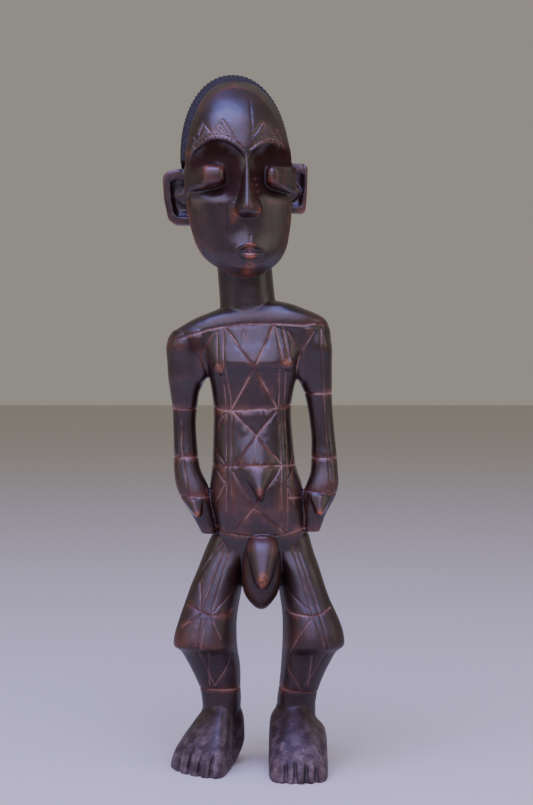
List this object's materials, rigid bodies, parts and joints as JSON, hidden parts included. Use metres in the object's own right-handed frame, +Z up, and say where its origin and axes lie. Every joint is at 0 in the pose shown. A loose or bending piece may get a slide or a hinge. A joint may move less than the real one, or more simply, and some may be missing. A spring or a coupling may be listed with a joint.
{
  "type": "songye statue",
  "caption": "Standing male figure carved from one block of dark wood, with peg eyes, block ears, hands on the hips, bent legs and incised lines over the body.",
  "frame": {"origin": "middle of the figure's outline box, on the ground under the soles", "axes": "+Z up, -Y the way the figure faces, +X to the right of a viewer who faces it"},
  "size_m": [0.1808, 0.145, 0.6944],
  "materials": {
    "wood": "dark oiled and waxed hardwood, semi-gloss, worn orange-brown on tips and edges"
  },
  "bodies": {
    "root": {"carved_figure": "wood"}
  },
  "joints": []
}
